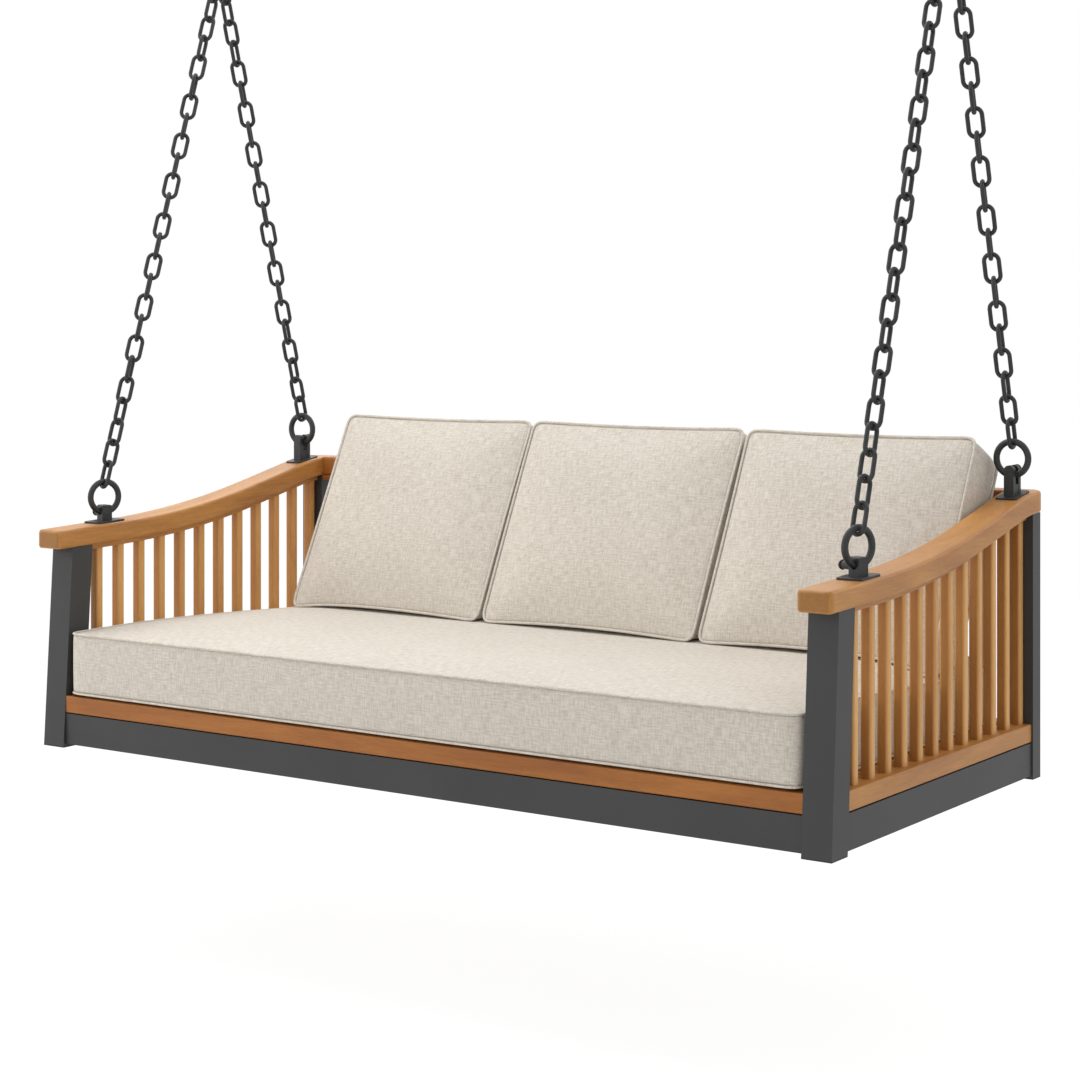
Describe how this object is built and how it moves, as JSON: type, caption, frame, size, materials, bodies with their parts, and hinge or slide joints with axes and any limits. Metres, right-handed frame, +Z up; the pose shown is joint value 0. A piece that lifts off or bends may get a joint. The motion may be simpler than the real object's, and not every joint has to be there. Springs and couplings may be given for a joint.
{
  "type": "hanging swing bed",
  "caption": "Hanging swing bed: slatted teak arms and rails on a coated metal frame, hung on chains from ceiling plates, with a seat cushion and leaning back cushions.",
  "frame": {"origin": "centre of the ceiling bolt pattern, on the ceiling plane, midway between the two ceiling plates", "axes": "+X along the bed towards its right arm as seen from the front, -Y out of the open front, +Z up into the ceiling"},
  "size_m": [2.0711, 0.999, 1.914],
  "materials": {
    "teak": "satin",
    "teak_slats": "satin",
    "charcoal_coat": "matte",
    "black_steel": "matte",
    "black_plastic": "matte",
    "linen": "matte"
  },
  "bodies": {
    "ceiling": {"ceiling_plate_left": "black_steel", "ceiling_plate_right": "black_steel", "ceiling_pin_left": "black_steel", "ceiling_pin_right": "black_steel"},
    "top_ring_left": {"top_ring_left": "black_steel"},
    "top_ring_right": {"top_ring_right": "black_steel"},
    "chain_front_left": {"chain_front_left": "black_steel"},
    "chain_front_right": {"chain_front_right": "black_steel"},
    "chain_rear_left": {"chain_rear_left": "black_steel", "ring_rear_left": "black_steel"},
    "chain_rear_right": {"chain_rear_right": "black_steel", "ring_rear_right": "black_steel"},
    "seat_cushion": {"seat_cushion": "linen"},
    "back_cushion_left": {"back_cushion_left": "linen"},
    "back_cushion_middle": {"back_cushion_middle": "linen"},
    "back_cushion_right": {"back_cushion_right": "linen"},
    "bed": {"ring_front_left": "black_steel", "ring_front_right": "black_steel", "hanger_front_left": "black_steel", "hanger_front_right": "black_steel", "hanger_rear_left": "black_steel", "hanger_rear_right": "black_steel", "hanger_pin_front_left": "black_steel", "hanger_pin_front_right": "black_steel", "hanger_pin_rear_left": "black_steel", "hanger_pin_rear_right": "black_steel", "hanger_screws": "black_steel", "arm_left": "teak", "arm_right": "teak", "arm_sub_rail_left": "teak", "arm_sub_rail_right": "teak", "side_slats_left": "teak_slats", "side_slats_right": "teak_slats", "side_rail_left": "teak", "side_rail_right": "teak", "front_rail": "teak", "rear_rail": "teak", "back_top_rail": "teak", "back_sub_rail": "teak", "back_slats": "teak_slats", "post_front_left": "charcoal_coat", "post_front_right": "charcoal_coat", "post_rear_left": "charcoal_coat", "post_rear_right": "charcoal_coat", "foot_plugs": "black_plastic", "apron_front": "charcoal_coat", "apron_rear": "charcoal_coat", "apron_left": "charcoal_coat", "apron_right": "charcoal_coat", "cross_members": "charcoal_coat", "centre_bearer": "charcoal_coat", "deck_ledgers": "teak", "deck_slats": "teak_slats"}
  },
  "joints": [
    {"name": "swing_left", "type": "hinge", "parent": "ceiling", "child": "top_ring_left", "pos_m": [-0.99, 0, -0.04], "axis": [1, 0, 0], "range_deg": [-20, 20]},
    {"name": "swing_right", "type": "hinge", "parent": "ceiling", "child": "top_ring_right", "pos_m": [0.99, 0, -0.04], "axis": [1, 0, 0], "range_deg": [-20, 20]},
    {"name": "sway_front_left", "type": "hinge", "parent": "top_ring_left", "child": "chain_front_left", "pos_m": [-0.99, -0.01099, -0.09798], "axis": [0, 1, 0], "range_deg": [-6, 6]},
    {"name": "bed_level", "type": "hinge", "parent": "chain_front_left", "child": "bed", "pos_m": [-0.99, -0.401, -1.31484], "axis": [0, 1, 0], "range_deg": [-6, 6]},
    {"name": "sway_front_right", "type": "hinge", "parent": "bed", "child": "chain_front_right", "pos_m": [0.99, -0.401, -1.31484], "axis": [0, 1, 0], "range_deg": [-6, 6]},
    {"name": "sway_rear_left", "type": "hinge", "parent": "bed", "child": "chain_rear_left", "pos_m": [-0.99, 0.316, -1.24756], "axis": [0, 1, 0], "range_deg": [-6.4, 6.4]},
    {"name": "sway_rear_right", "type": "hinge", "parent": "bed", "child": "chain_rear_right", "pos_m": [0.99, 0.316, -1.24756], "axis": [0, 1, 0], "range_deg": [-6.4, 6.4]},
    {"name": "seat_lift", "type": "slide", "parent": "bed", "child": "seat_cushion", "axis": [0, 0, 1], "range_m": [0, 0.15]},
    {"name": "back_left_lift", "type": "slide", "parent": "seat_cushion", "child": "back_cushion_left", "axis": [0, 0, 1], "range_m": [0, 0.3]},
    {"name": "back_middle_lift", "type": "slide", "parent": "seat_cushion", "child": "back_cushion_middle", "axis": [0, 0, 1], "range_m": [0, 0.3]},
    {"name": "back_right_lift", "type": "slide", "parent": "seat_cushion", "child": "back_cushion_right", "axis": [0, 0, 1], "range_m": [0, 0.3]}
  ],
  "couplings": [
    {"joint": "swing_right", "follows": "swing_left", "ratio": 1},
    {"joint": "bed_level", "follows": "sway_front_left", "ratio": -1},
    {"joint": "sway_front_right", "follows": "sway_front_left", "ratio": 1},
    {"joint": "sway_rear_left", "follows": "sway_front_left", "ratio": 1.0589},
    {"joint": "sway_rear_right", "follows": "sway_front_left", "ratio": 1.0589}
  ]
}
